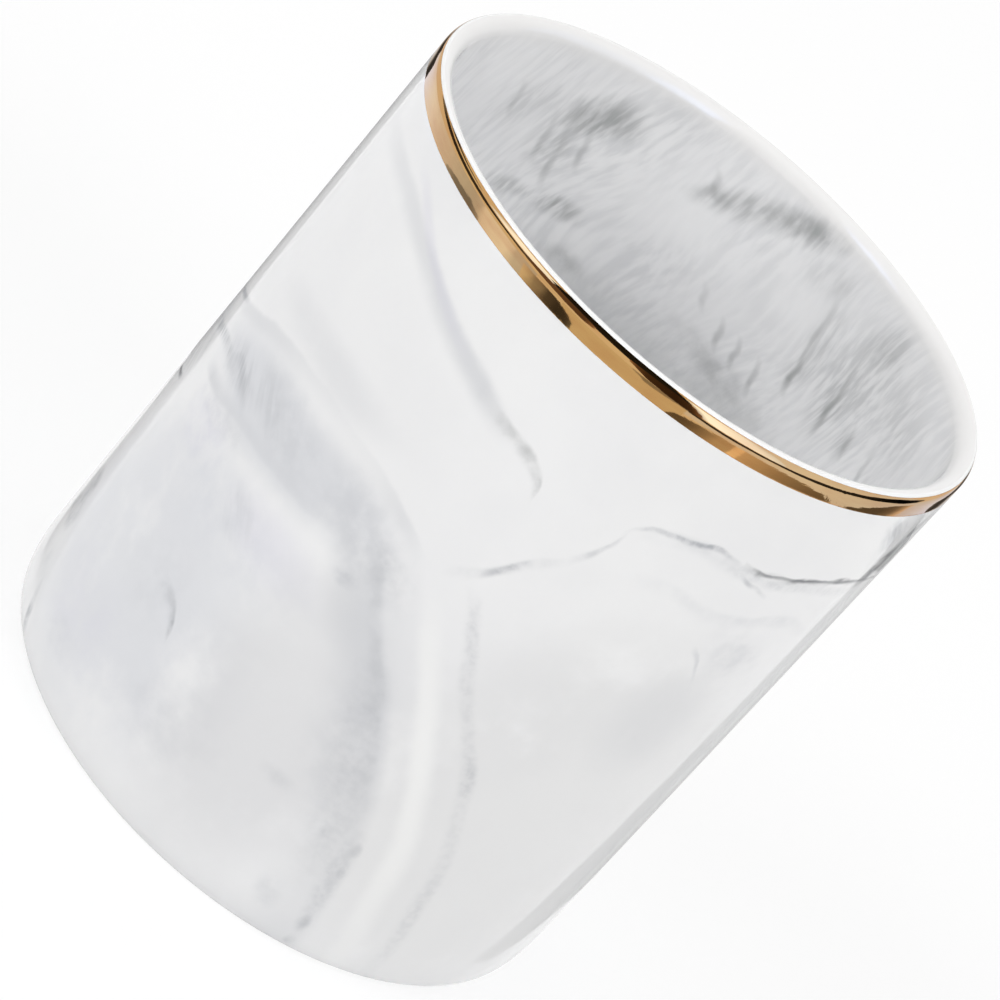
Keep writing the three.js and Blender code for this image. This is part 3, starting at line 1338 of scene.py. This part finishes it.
@dataclass(frozen=True)
class MarbledCup:
    """The glazed cup, in millimetres.

    Attributes:
        lip: Its lip.
        band: The band that it carries.
        wall: Thickness of the wall.
        floor_height: Height of the inside floor.
        corner: Radius between the inside wall and the floor.
        edge_width: How far the soft edge above the foot comes in.
        edge_height: How far that edge reaches up.
        ring_width: Width of the bare foot ring.
        recess: Depth of the recess inside the ring.
        recess_slope: Width of the slope from the ring to the recess.
        inner_lip_height: How far the inner side of the lip reaches down.
        seat_gap: Gap between the gold film and the glaze beside and under it.
        white_lip: Depths under the crest at which the marbling inside is full, and is gone.
    """

    lip: Lip
    band: GoldBand
    wall: float = 2.5
    floor_height: float = 5.6
    corner: float = 4.0
    edge_width: float = 1.2
    edge_height: float = 6.0
    ring_width: float = 4.2
    recess: float = 1.4
    recess_slope: float = 1.2
    inner_lip_height: float = 1.9
    seat_gap: float = 0.015
    white_lip: tuple[float, float] = (3.8, 0.4)

    @property
    def inner(self) -> float:
        """Radius of the inside wall."""
        return self.lip.outer - self.wall

    @property
    def seat(self) -> float:
        """Radius of the upright face behind the band."""
        return self.band.inner - self.seat_gap

    @property
    def seat_turn(self) -> float:
        """The share of the shoulder's quarter turn at which that face ends."""
        return math.acos((self.seat - self.lip.crest) / self.lip.width) / (math.pi / 2)

    def sizes(self) -> dict[str, float]:
        """Works out the profile's radii and heights.

        Returns:
            Each size by the name that the profile gives it.
        """
        lip = self.lip
        foot_outer = lip.outer - self.edge_width
        foot_inner = foot_outer - self.ring_width
        return {
            "Axis": 0.0,
            "Recess Radius": foot_inner - self.recess_slope,
            "Foot Inner Radius": foot_inner,
            "Foot Outer Radius": foot_outer,
            "Outer Radius": lip.outer,
            "Seat Radius": self.seat,
            "Crest Radius": lip.crest,
            "Inner Radius": self.inner,
            "Corner Radius": self.inner - self.corner,
            "Ground": 0.0,
            "Recess Height": self.recess,
            "Edge Height": self.edge_height,
            "Ledge Height": self.band.bottom - self.seat_gap,
            "Seat Height": lip.shoulder + lip.height * math.sin(self.seat_turn * math.pi / 2),
            "Shoulder Height": lip.shoulder,
            "Crest Height": lip.crest_height,
            "Inner Lip Height": lip.crest_height - self.inner_lip_height,
            "Corner Height": self.floor_height + self.corner,
            "Floor Height": self.floor_height,
        }

    def stretches(self) -> list[Stretch]:
        """Lists the profile, from the middle of the underside round to the middle of the inside floor.

        Returns:
            The stretches in order.
        """
        outside, inside, plain, bare = Coat
        level, upright = Bend.LEVEL_FIRST, Bend.UPRIGHT_FIRST
        ground, ledge, floor = "Ground", "Ledge Height", "Floor Height"
        shoulder, crest = ("Outer Radius", "Shoulder Height"), ("Crest Radius", "Crest Height")
        lip_foot, wall_foot = ("Inner Radius", "Inner Lip Height"), ("Inner Radius", "Corner Height")
        return [
            Stretch(("Axis", "Recess Height"), ("Recess Radius", "Recess Height"), 6, plain),
            Stretch(("Recess Radius", "Recess Height"), ("Foot Inner Radius", ground), 2, plain),
            Stretch(("Foot Inner Radius", ground), ("Foot Outer Radius", ground), 3, bare),
            Stretch(("Foot Outer Radius", ground), ("Outer Radius", "Edge Height"), 14, outside, level),
            Stretch(("Outer Radius", "Edge Height"), ("Outer Radius", ledge), 40, outside),
            Stretch(("Outer Radius", ledge), ("Seat Radius", ledge), 1, plain),
            Stretch(("Seat Radius", ledge), ("Seat Radius", "Seat Height"), 2, plain),
            Stretch(shoulder, crest, 6, plain, upright, (self.seat_turn, 1.0)),
            Stretch(crest, lip_foot, 14, inside, level),
            Stretch(lip_foot, wall_foot, 36, inside),
            Stretch(wall_foot, ("Corner Radius", floor), 10, inside, upright),
            Stretch(("Corner Radius", floor), ("Axis", floor), 8, inside),
        ]

    def finishes(self) -> list[Material]:
        """Makes the cup's materials.

        Returns:
            A material for each coat, in the order of their numbers.
        """
        deep, shallow = self.white_lip
        outside = MarbledGlaze(
            name="marbled_glaze_outside",
            colour=OUTSIDE_WHITE,
            radius=self.lip.outer,
            clouds=outside_clouds(),
            veins=outside_veins(),
        )
        inside = MarbledGlaze(
            name="marbled_glaze_inside",
            radius=self.inner,
            clouds=inside_clouds(),
            veins=inside_veins(),
            lip=(self.lip.crest_height - deep, self.lip.crest_height - shallow),
            drift=0.25,
            wash=0.27,
            feather=Feather(width=1.0, length=5.5, twist=0.003, bend=11.0),
        )
        return [finish.material() for finish in (outside, inside, ClearGlaze(), BareClay())]

    def build(self, lathe: Lathe) -> Object:
        """Turns and dresses the cup.

        Args:
            lathe: The lathe.

        Returns:
            The cup.
        """
        cup = lathe.turn("marbled_cup", self.sizes(), self.stretches(), self.finishes())
        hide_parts("cup_body")
        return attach(cup, BODY)


class Hold(Enum):
    """Where a reflector is held."""

    FLOOR = "floor"
    AIR = "air"


@dataclass(frozen=True)
class Reflector:
    """A card or mat that only reflections see, as a studio's softboxes, flags and table edges are.

    Attributes:
        name: Its name.
        hold: Whether it lies on the floor or hangs in the air.
        ribs: Its cross lines, in order. On the floor each gives the degrees round the cup and the two
            heights in millimetres at which an upright wall mirrors it to the camera. In the air each
            gives the azimuth and the two elevations from the lip, in degrees. The last number is the
            brightness there: 0 for black, 1 for white paper, more for a lit softbox.
        tint: The colour of its light.
    """

    name: str
    hold: Hold
    ribs: tuple[tuple[float, float, float, float], ...]
    tint: str = PAPER_WHITE


def cards() -> tuple[Reflector, ...]:
    """Lists the cards in the air, which the gold mirrors to the camera where it leans upwards.

    Returns:
        The cards, each nearer the cup than the one before it.
    """
    air = Hold.AIR
    return (
        Reflector(
            "right_softbox", air,
            ((31, 10, 50, 1.8), (35, 8, 52, 4.0), (56, 8, 52, 3.4), (66, 8, 50, 2.4)),
            SKY_BLUE,
        ),
        Reflector("right_pale_card", air, ((65, 8, 50, 1.7), (126, 8, 40, 1.5)), PALE_BLUE),
        Reflector(
            "left_softbox", air,
            ((-68, 22, 48, 2.4), (-58, 22, 50, 4.0), (-34, 26, 50, 3.2)),
            SKY_BLUE,
        ),
        Reflector(
            "front_flag", air,
            ((-37, 34, 70, 0.02), (-12, 24, 70, 0.02), (4, 22, 72, 0.02), (30, 30, 72, 0.02)),
        ),
        Reflector(
            "front_left_flag", air,
            ((-46, 11, 22, 0.2), (-34, 9, 32, 0.2), (-16, 5, 38, 0.14), (-12, 14, 34, 0.4)),
            PEACH,
        ),
        Reflector(
            "front_right_flag", air,
            ((3, 16, 32, 0.4), (6, 10, 36, 0.16), (10, 0, 40, 0.08), (22, -4, 44, 0.05), (28, -3, 38, 0.08),
             (32, 2, 30, 0.3)),
            APRICOT,
        ),
        Reflector(
            "right_horizon", air,
            ((27, -6, 3, 0.06), (40, -6, 5, 0.06), (60, -1, 7, 0.08), (78, -4, 9, 0.04), (98, -3, 10, 0.03),
             (108, -3, 14, 0.01), (117, -4, 14, 0.0), (124, -2, 9, 0.02), (128, 2, 5, 0.3)),
        ),
        Reflector(
            "left_horizon", air,
            ((-122, 20, 26, 0.3), (-108, 13, 24, 0.05), (-96, 8, 20, 0.04), (-80, 5, 18, 0.06),
             (-66, 6, 18, 0.06), (-56, 10, 18, 0.08), (-42, 11, 22, 0.16)),
        ),
        Reflector(
            "left_upper_line", air,
            ((-122, 29, 34, 0.3), (-106, 28, 34, 0.04), (-90, 24, 30, 0.1), (-76, 24, 27, 0.3)),
        ),
    )


def mats() -> tuple[Reflector, ...]:
    """Lists the mats on the floor, which the upright gold and glaze mirror to the camera.

    Returns:
        The mats, each over the one before it.
    """
    floor = Hold.FLOOR
    # A mat that starts at this height, just under the band, shows in the gold alone.
    under = 85.3
    # A mat that ends at this height shows in the glaze alone.
    top = 85.2
    # A mat that ends at this height reaches far out over the floor.
    far = 230.0
    return (
        Reflector(
            "left_pale_mat", floor,
            ((-76, under, far, 1.6), (-64, under, far, 1.75), (-58, under, far, 1.8), (-52, under, far, 1.6),
             (-46, under, far, 1.45), (-42, under, far, 1.25), (-38, under, far, 1.1),
             (-35, under, far, 1.15), (-32, under, far, 1.75), (-26, under, far, 1.85),
             (-23, under, far, 1.3), (-18, under, far, 1.1)),
            PALE_BLUE,
        ),
        Reflector(
            "left_dusky_mat", floor,
            ((-46, under, 90, 0.8), (-42, under, 100, 0.5), (-36, under, 106, 0.45), (-33, under, 94, 0.8)),
            PALE_BLUE,
        ),
        Reflector(
            "right_pale_mat", floor,
            ((12, 132, far, 1.5), (22, 146, far, 1.6), (30, 138, far, 1.6), (38, 118, far, 1.6),
             (45, under, far, 1.5), (56, under, far, 1.4), (61.5, under, far, 1.4), (76, under, far, 1.5)),
            PALE_BLUE,
        ),
        Reflector("front_middle_mat", floor, ((-12, under, far, 0.88), (13, under, far, 0.88)), IVORY),
        Reflector(
            "middle_dusk_mat", floor,
            ((2.5, 180, far, 0.6), (5, 150, far, 0.35), (9, 156, far, 0.4), (13, 180, far, 0.6)),
        ),
        Reflector(
            "left_front_mat", floor,
            ((-21, under, 145, 0.95), (-18, under, 155, 0.45), (-15, under, 166, 0.12),
             (-12.5, under, 158, 0.06), (-10.2, under, 130, 0.08), (-9, 88, 106, 0.2)),
        ),
        Reflector(
            "right_front_mat", floor,
            ((11, under, 89, 0.2), (12, under, 106, 0.16), (14, under, 120, 0.18), (17, under, 130, 0.36),
             (20, under, 138, 0.68), (22.8, under, 142, 0.7), (23, under, 142, 1.25),
             (24.6, under, 142, 1.25), (24.8, under, 142, 0.85), (28, under, 138, 0.7),
             (32, under, 134, 0.5), (36, under, 122, 0.36), (41, under, 108, 0.24), (44.5, under, 90, 0.2)),
            CREAM,
        ),
        Reflector(
            "right_wedge_mat", floor,
            ((48.5, under, 90, 0.15), (52, under, 99, 0.14), (56, under, 111, 0.14), (59, under, 128, 0.26),
             (62, under, 140, 1.1)),
            CREAM,
        ),
        Reflector(
            "right_end_mat", floor,
            ((70.9, 93, 104, 0.2), (71.6, 88, 124, 0.12), (72.6, under, 160, 0.06), (74.5, under, far, 0.05),
             (76.5, under, far, 0.12), (78.5, under, far, 0.6), (86, under, far, 0.9)),
        ),
        Reflector(
            "left_end_mat", floor,
            ((-86, under, far, 1.0), (-77.4, under, far, 0.6), (-75.6, under, far, 0.16),
             (-74.5, under, far, 0.05), (-72.8, under, far, 0.04), (-71.3, under, far, 0.05),
             (-69.8, 115, far, 0.08)),
        ),
        Reflector(
            "left_side_mat", floor,
            ((-89, 36, top, 0.35), (-80, 34, top, 0.35), (-77.5, 26, top, 0.4), (-76, 9, top, 0.45),
             (-74, 6.5, top, 0.4), (-73, 5.5, 52, 0.45), (-71, 4.5, 46, 0.5), (-70, 4, 40, 0.55),
             (-68, 3.5, 24, 0.6), (-66, 3, 15, 0.6), (-64, 2.5, 11, 0.6), (-60, 2, 6, 0.6), (-56, 1, 2, 0.7)),
        ),
        Reflector(
            "right_side_mat", floor,
            ((61, 3, 5, 0.6), (64, 3.5, 12, 0.55), (66, 4, 20, 0.5), (68, 5, 33, 0.5), (70, 6, 52, 0.5),
             (71.5, 7, top, 0.46), (76, 10.5, top, 0.57), (89, 18, top, 0.6)),
        ),
        Reflector(
            "right_smudge_mat", floor,
            ((66.5, 82, 85, 0.5), (70, 80, 85, 0.3), (72.6, 75.2, 84.4, 0.16), (73.8, 74.4, 84, 0.03),
             (76, 74, 81.5, 0.0), (79, 73, 79, 0.1), (82, 75, 77, 0.5)),
        ),
    )


def seen_directly(tree: NodeTree) -> Node:
    """Tells rays that show the background from rays that carry light.

    Args:
        tree: A node tree.

    Returns:
        A factor of 1 for camera, glossy and transmission rays.
    """
    path = add(tree, "ShaderNodeLightPath").outputs
    either = add(tree, MATH, {0: path["Is Camera Ray"], 1: path["Is Glossy Ray"]}, operation="MAXIMUM")
    return add(tree, MATH, {0: either, 1: path["Is Transmission Ray"]}, operation="MAXIMUM")


@dataclass
class Studio:
    """The floor, the light and the camera.

    Attributes:
        cup_height: Height of the cup, in millimetres. The camera aims at half of it.
        cup_radius: Radius of its outside.
        elevation: Degrees of the camera above the horizon.
        distance: Millimetres from the camera to its aim.
        roll: Degrees that the camera is turned about its line of sight.
        aim_pan: Degrees that it looks beside its aim.
        aim_tilt: Degrees that it looks over its aim.
        focal_pixels: Its focal length, in pixels of the frame.
        frame_pixels: Width of the frame, in pixels.
        sensor: Width of the camera's sensor, in millimetres.
        clip: Metres from the camera to the nearest and the farthest things it shows.
        floor_half: Half the width of the floor, in metres.
        floor_drop: Millimetres that the floor lies under the cup's foot.
        floor_glow: Brightness that the floor shows by itself, so that it looks white.
        floor_shade: Share of the light that it shows besides, which keeps the cup's shadow.
        lamps: Each softbox's name, azimuth, elevation and the brightness that it gives white paper at
            the origin that faces it.
        lamp_distance: Metres from the origin to each softbox.
        lamp_size: Width of a softbox, in metres.
        room_light: Strength of the light from all round.
        card_distance: Millimetres from the middle of the lip to the first card.
        card_gap: Millimetres that each card hangs nearer than the one before it.
        mat_gap: Millimetres that each mat lies higher than the one before it.
        rib_step: Degrees between two cross lines of a reflector's mesh at most.
    """

    cup_height: float
    cup_radius: float
    elevation: float = 25.85
    distance: float = 541.4
    roll: float = 41.18
    aim_pan: float = -0.045
    aim_tilt: float = 0.119
    focal_pixels: float = 4450.0
    frame_pixels: float = 1000.0
    sensor: float = 36.0
    clip: tuple[float, float] = (0.01, 20.0)
    floor_half: float = 3.0
    floor_drop: float = 0.02
    floor_glow: float = 0.74
    floor_shade: float = 0.27
    lamps: tuple[tuple[str, float, float, float], ...] = (
        ("right_front_lamp", 54.0, 38.0, 0.38),
        ("left_front_lamp", -54.0, 38.0, 0.4),
        ("right_back_lamp", 150.0, 30.0, 0.13),
        ("left_back_lamp", -150.0, 30.0, 0.13),
    )
    lamp_distance: float = 1.0
    lamp_size: float = 0.6
    room_light: float = 0.45
    card_distance: float = 900.0
    card_gap: float = 4.0
    mat_gap: float = 0.1
    rib_step: float = 3.0

    def build(self) -> None:
        """Builds the whole studio."""
        self.build_camera()
        self.build_floor()
        self.build_world()
        self.build_lamps()
        for layer, reflector in enumerate((*cards(), *mats())):
            self.build_reflector(reflector, layer)

    def build_camera(self) -> None:
        """Puts the camera at the photograph's viewing angle."""
        aim = Vector((0.0, 0.0, self.cup_height / 2))
        back = towards(0.0, self.elevation)
        right = Vector((1.0, 0.0, 0.0))
        up = right.cross(-back)
        pan = Matrix.Rotation(math.radians(self.aim_pan), 3, up)
        ahead, right = pan @ -back, pan @ right
        tilt = Matrix.Rotation(math.radians(self.aim_tilt), 3, right)
        ahead, up = tilt @ ahead, tilt @ up
        roll = math.radians(self.roll)
        across = right * math.cos(roll) + up * math.sin(roll)
        top = up * math.cos(roll) - right * math.sin(roll)
        data = bpy.data.cameras.new("camera")
        data.sensor_width = self.sensor
        data.lens = self.focal_pixels * self.sensor / self.frame_pixels
        data.clip_start, data.clip_end = self.clip
        camera = bpy.data.objects.new("camera", data)
        facing = Matrix((across, top, -ahead)).transposed().to_4x4()
        camera.matrix_world = Matrix.Translation((aim + back * self.distance) * MM) @ facing
        bpy.context.scene.collection.objects.link(camera)
        bpy.context.scene.camera = camera

    def build_floor(self) -> None:
        """Lays a matt white floor that keeps a faint shadow."""
        half = self.floor_half
        corners = [Vector(place) * half for place in ((-1, -1, 0), (1, -1, 0), (1, 1, 0), (-1, 1, 0))]
        floor = self.sheet_of("floor", corners, [(0, 1, 2, 3)])
        floor.location.z = -self.floor_drop * MM
        material = new_material("white_studio_floor")
        tree = material.node_tree
        glow = add(tree, "ShaderNodeEmission", {"Color": linear(PAPER_WHITE), "Strength": self.floor_glow})
        shade = self.floor_shade
        matt = add(tree, "ShaderNodeBsdfDiffuse", {"Color": (shade, shade, shade, 1.0)})
        shown = add(tree, "ShaderNodeAddShader", {0: glow, 1: matt})
        lit = add(tree, "ShaderNodeBsdfDiffuse", {"Color": linear(FLOOR_WHITE)})
        mixed = add(tree, "ShaderNodeMixShader", {0: seen_directly(tree), 1: lit, 2: shown})
        add(tree, "ShaderNodeOutputMaterial", {"Surface": mixed})
        floor.data.materials.append(material)

    def build_world(self) -> None:
        """Fills the room with soft light, white where it shows."""
        world = bpy.data.worlds.new("soft_room")
        world.use_nodes = True
        tree = world.node_tree
        tree.nodes.clear()
        room, white = (
            add(tree, "ShaderNodeBackground", {"Color": linear(PAPER_WHITE), "Strength": strength})
            for strength in (self.room_light, 1.0)
        )
        mixed = add(tree, "ShaderNodeMixShader", {0: seen_directly(tree), 1: room, 2: white})
        add(tree, "ShaderNodeOutputWorld", {"Surface": mixed})
        bpy.context.scene.world = world

    def build_lamps(self) -> None:
        """Hangs two large softboxes in front of the cup and two weaker ones behind it."""
        for name, azimuth, elevation, brightness in self.lamps:
            data = bpy.data.lights.new(name, "AREA")
            data.shape = "SQUARE"
            data.size = self.lamp_size
            # At a brightness of 1, this many watts make white paper at the origin look white.
            data.energy = brightness * (math.pi * self.lamp_distance) ** 2
            lamp = bpy.data.objects.new(name, data)
            place = towards(azimuth, elevation) * self.lamp_distance
            lamp.matrix_world = Matrix.Translation(place) @ place.to_track_quat("Z", "Y").to_matrix().to_4x4()
            lamp.visible_glossy = False
            bpy.context.scene.collection.objects.link(lamp)

    def sheet_of(self, name: str, corners: list[Vector], faces: list[tuple[int, ...]]) -> Object:
        """Makes a stage sheet.

        Args:
            name: Its name.
            corners: Its corners, in metres.
            faces: Its faces by corner number.

        Returns:
            The sheet.
        """
        mesh = bpy.data.meshes.new(name)
        mesh.from_pydata(corners, [], faces)
        sheet = bpy.data.objects.new(name, mesh)
        bpy.context.scene.collection.objects.link(sheet)
        return sheet

    def filled_in(self, ribs: tuple[tuple[float, ...], ...]) -> list[tuple[float, ...]]:
        """Adds cross lines between ribs, so that a reflector bends smoothly.

        Args:
            ribs: The ribs.

        Returns:
            The ribs and the lines between them, in order.
        """
        lines = []
        for first, last in zip(ribs, ribs[1:]):
            steps = max(1, math.ceil(abs(last[0] - first[0]) / self.rib_step))
            for step in range(steps):
                lines.append(tuple(a + (b - a) * step / steps for a, b in zip(first, last)))
        return [*lines, ribs[-1]]

    def build_reflector(self, reflector: Reflector, layer: int) -> None:
        """Makes one reflector from its ribs.

        Args:
            reflector: The reflector.
            layer: Its place among them all, which holds it clear of the ones before it.
        """
        ribs = self.filled_in(reflector.ribs)
        if reflector.hold is Hold.AIR:
            lip = Vector((0.0, 0.0, self.cup_height))
            reach = self.card_distance - layer * self.card_gap
            corners = [lip + towards(rib[0], end) * reach for rib in ribs for end in rib[1:3]]
        else:
            lift = Vector((0.0, 0.0, (layer + 1) * self.mat_gap))
            corners = [self.mirrored(rib[0], end) + lift for rib in ribs for end in rib[1:3]]
        faces = [(n, n + 1, n + 3, n + 2) for n in range(0, 2 * len(ribs) - 2, 2)]
        sheet = self.sheet_of(reflector.name, [corner * MM for corner in corners], faces)
        brightness = sheet.data.attributes.new("brightness", "FLOAT", "POINT")
        brightness.data.foreach_set("value", [rib[3] for rib in ribs for _ in range(2)])
        for ray in ("camera", "diffuse", "transmission", "volume_scatter", "shadow"):
            setattr(sheet, "visible_" + ray, False)
        material = new_material(sheet.name)
        tree = material.node_tree
        strength = add(tree, "ShaderNodeAttribute", attribute_name="brightness").outputs["Fac"]
        glow = add(tree, "ShaderNodeEmission", {"Color": linear(reflector.tint), "Strength": strength})
        add(tree, "ShaderNodeOutputMaterial", {"Surface": glow})
        sheet.data.materials.append(material)

    def mirrored(self, degrees: float, height: float) -> Vector:
        """Finds the place on the floor that an upright wall mirrors to the camera.

        Args:
            degrees: Degrees round the cup to the place on the wall.
            height: Its height in millimetres, which may be over the lip.

        Returns:
            The place on the floor, in millimetres.
        """
        outwards = towards(degrees)
        spot = outwards * self.cup_radius + Vector((0.0, 0.0, height))
        camera = Vector((0.0, 0.0, self.cup_height / 2)) + towards(0.0, self.elevation) * self.distance
        ray = (spot - camera).reflect(outwards)
        return spot - ray * (height / ray.z)


def main() -> None:
    """Builds the pen holder and its studio."""
    logging.basicConfig(level=logging.INFO, format="%(name)s: %(message)s")
    _, cup_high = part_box("cup_body")
    band_low, band_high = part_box("gold_band")
    lip = Lip(cup_high.x / MM, cup_high.z / MM)
    band = GoldBand(lip, band_low.z / MM, band_high.z / MM)
    lathe = Lathe()
    for part in (MarbledCup(lip, band), band):
        piece = part.build(lathe)
        LOG.info("%s has %d faces", piece.name, len(piece.data.polygons))
    Studio(lip.crest_height, lip.outer).build()
    bpy.context.scene.view_settings.view_transform = "Standard"


if __name__ == "__main__":
    main()
